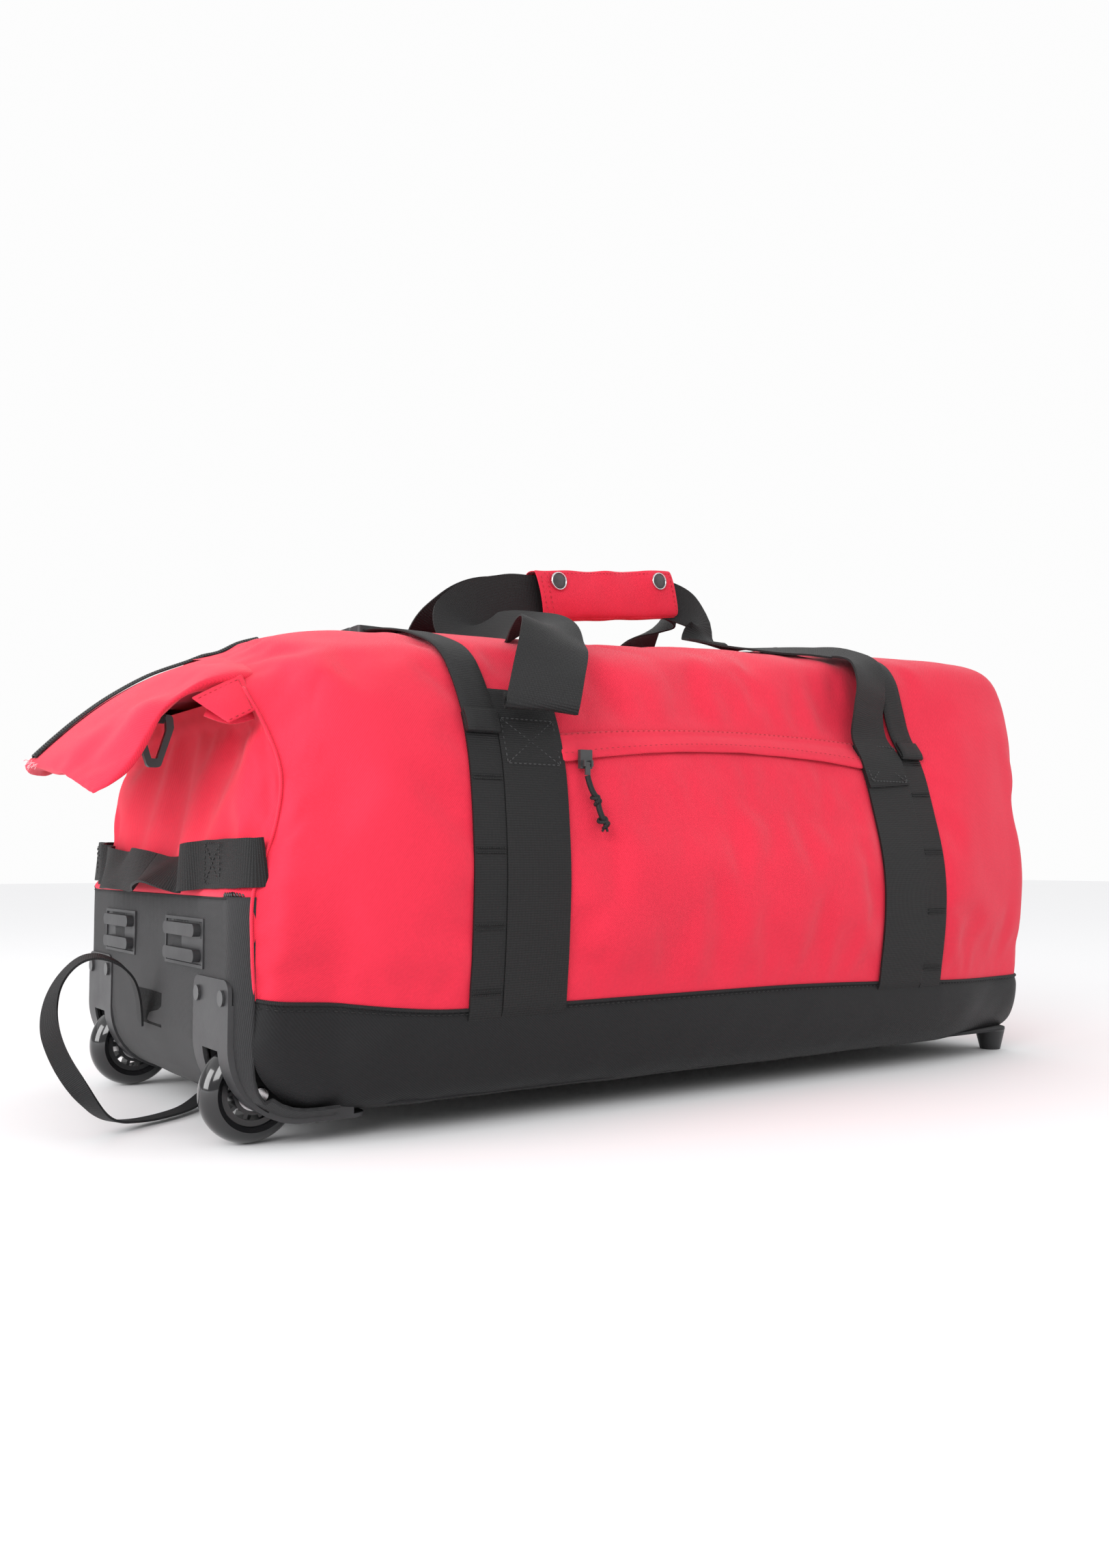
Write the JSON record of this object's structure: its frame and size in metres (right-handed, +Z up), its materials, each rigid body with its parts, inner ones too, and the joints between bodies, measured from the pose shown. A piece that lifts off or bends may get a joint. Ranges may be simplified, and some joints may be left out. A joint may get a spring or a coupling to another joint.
{
  "type": "rolling duffel bag",
  "caption": "Soft zip-top duffel bag with a stiffened wheel end, in-line wheels in wrap-round brackets, carry handle, compression straps and a front zip pocket.",
  "frame": {"origin": "on the floor, under the middle of the bag's bounding box", "axes": "+X from the wheel end to the foot end, +Y from the front (pocket side) to the back, +Z up"},
  "size_m": [0.845, 0.3826, 0.4349],
  "materials": {
    "shell_fabric": "coral-red polyester twill, matt",
    "base_fabric": "black coarse-weave polyester",
    "webbing": "black ribbed webbing",
    "lining": "thin black lining",
    "board": "semi-rigid sheet",
    "zip_coil": "nylon coil zip",
    "moulded_plastic": "charcoal satin moulding",
    "hub_plastic": "glossy black",
    "tyre": "glossy black cast polyurethane",
    "steel": "bright",
    "rivet_black": "black lacquer",
    "snap_metal": "dark cap with a bright rim",
    "hook_tape": "black hook-and-loop tape",
    "cord": "black braided cord"
  },
  "bodies": {
    "bag": {"wheel_end_panel": "base_fabric", "end_stiffener": "board", "end_zip": "zip_coil", "wheel_end_upper": "shell_fabric", "beak": "shell_fabric", "beak_zip": "zip_coil", "front_panel": "shell_fabric", "back_panel": "shell_fabric", "base_walls": "base_fabric", "bottom_panel": "base_fabric", "base_board": "board", "foot_end_panel": "shell_fabric", "top_panels": "shell_fabric", "brackets": "moulded_plastic", "wheel_wells": "moulded_plastic", "axles": "steel", "axle_spacers": "steel", "bracket_rivets": "rivet_black", "rivet_washers": "steel", "rub_plates": "moulded_plastic", "hook_patch": "hook_tape", "feet": "moulded_plastic", "carry_straps": "webbing", "daisy_straps": "webbing", "buckle_sockets": "moulded_plastic", "compression_back": "webbing", "compression_front_wheel_side": "webbing", "compression_front_foot_side": "webbing", "pocket_zip": "zip_coil", "pocket_flap": "shell_fabric", "pocket_lining": "lining", "grab_handle_ends": "webbing", "ring_tab": "webbing", "pull_strap": "webbing"},
    "wheel_near": {"tyre_near": "tyre", "hub_near": "hub_plastic", "bearings_near": "steel"},
    "wheel_far": {"tyre_far": "tyre", "hub_far": "hub_plastic", "bearings_far": "steel"},
    "carry_handle": {"wrap_cover": "shell_fabric", "handle_core": "webbing", "snap_studs": "steel", "handle_webbing": "webbing"},
    "wrap_flap": {"wrap_flap": "shell_fabric", "snap_caps": "snap_metal"},
    "lip_front": {"mouth_lip_front": "shell_fabric", "main_zip_front": "zip_coil"},
    "lip_back": {"mouth_lip_back": "shell_fabric", "main_zip_back": "zip_coil"},
    "main_slider": {"main_slider": "rivet_black"},
    "main_pull": {"main_pull": "rivet_black"},
    "pocket_slider": {"pocket_slider": "rivet_black"},
    "pocket_pull": {"pocket_tab": "rivet_black", "pocket_cord": "cord", "cord_knot": "cord"},
    "buckle_plug_wheel_side": {"buckle_plug_wheel_side": "moulded_plastic"},
    "buckle_plug_foot_side": {"buckle_plug_foot_side": "moulded_plastic"},
    "strap_ring": {"strap_ring": "moulded_plastic"},
    "grab_handle": {"grab_handle_webbing": "webbing"}
  },
  "joints": [
    {"name": "wheel_near_spin", "type": "hinge", "parent": "bag", "child": "wheel_near", "pos_m": [-0.307, -0.1247, 0.032], "axis": [0, 1, 0], "continuous": true},
    {"name": "wheel_far_spin", "type": "hinge", "parent": "bag", "child": "wheel_far", "pos_m": [-0.307, 0.1247, 0.032], "axis": [0, 1, 0], "continuous": true},
    {"name": "carry_handle_lift", "type": "slide", "parent": "bag", "child": "carry_handle", "axis": [0, 0, 1], "range_m": [-0.02, 0.05], "deforming": ["handle_webbing"]},
    {"name": "wrap_flap_open", "type": "hinge", "parent": "carry_handle", "child": "wrap_flap", "pos_m": [0.06194, -0.0068, 0.38615], "axis": [0.9925, 0, 0.1219], "range_deg": [0, 110]},
    {"name": "lip_front_fold", "type": "hinge", "parent": "bag", "child": "lip_front", "pos_m": [-0.2625, -0.088, 0.327], "axis": [-0.9984, 0, -0.0559], "range_deg": [0, 60]},
    {"name": "lip_back_fold", "type": "hinge", "parent": "bag", "child": "lip_back", "pos_m": [-0.2625, 0.088, 0.327], "axis": [0.9984, 0, 0.0559], "range_deg": [0, 60]},
    {"name": "main_zip_slide", "type": "slide", "parent": "bag", "child": "main_slider", "axis": [-0.9984, 0, -0.0559], "range_m": [0, 0.335]},
    {"name": "main_pull_flip", "type": "hinge", "parent": "main_slider", "child": "main_pull", "pos_m": [0.21028, 0, 0.36858], "axis": [0, 1, 0], "range_deg": [0, 150]},
    {"name": "pocket_zip_slide", "type": "slide", "parent": "bag", "child": "pocket_slider", "axis": [1, 0, 0], "range_m": [0, 0.272]},
    {"name": "pocket_pull_swing", "type": "hinge", "parent": "pocket_slider", "child": "pocket_pull", "pos_m": [-0.0925, -0.1859, 0.24], "axis": [-1, 0, 0], "range_deg": [0, 90]},
    {"name": "buckle_wheel_side_release", "type": "slide", "parent": "bag", "child": "buckle_plug_wheel_side", "axis": [0, -1, 0], "range_m": [0, 0.022], "deforming": ["compression_front_wheel_side"]},
    {"name": "buckle_foot_side_release", "type": "slide", "parent": "bag", "child": "buckle_plug_foot_side", "axis": [0, -1, 0], "range_m": [0, 0.022], "deforming": ["compression_front_foot_side"]},
    {"name": "strap_ring_swing", "type": "hinge", "parent": "bag", "child": "strap_ring", "pos_m": [-0.3635, -0.104, 0.262], "axis": [-1, 0, 0], "range_deg": [-8, 70]},
    {"name": "grab_handle_pull", "type": "slide", "parent": "bag", "child": "grab_handle", "axis": [-1, 0, 0], "range_m": [0, 0.02]}
  ]
}
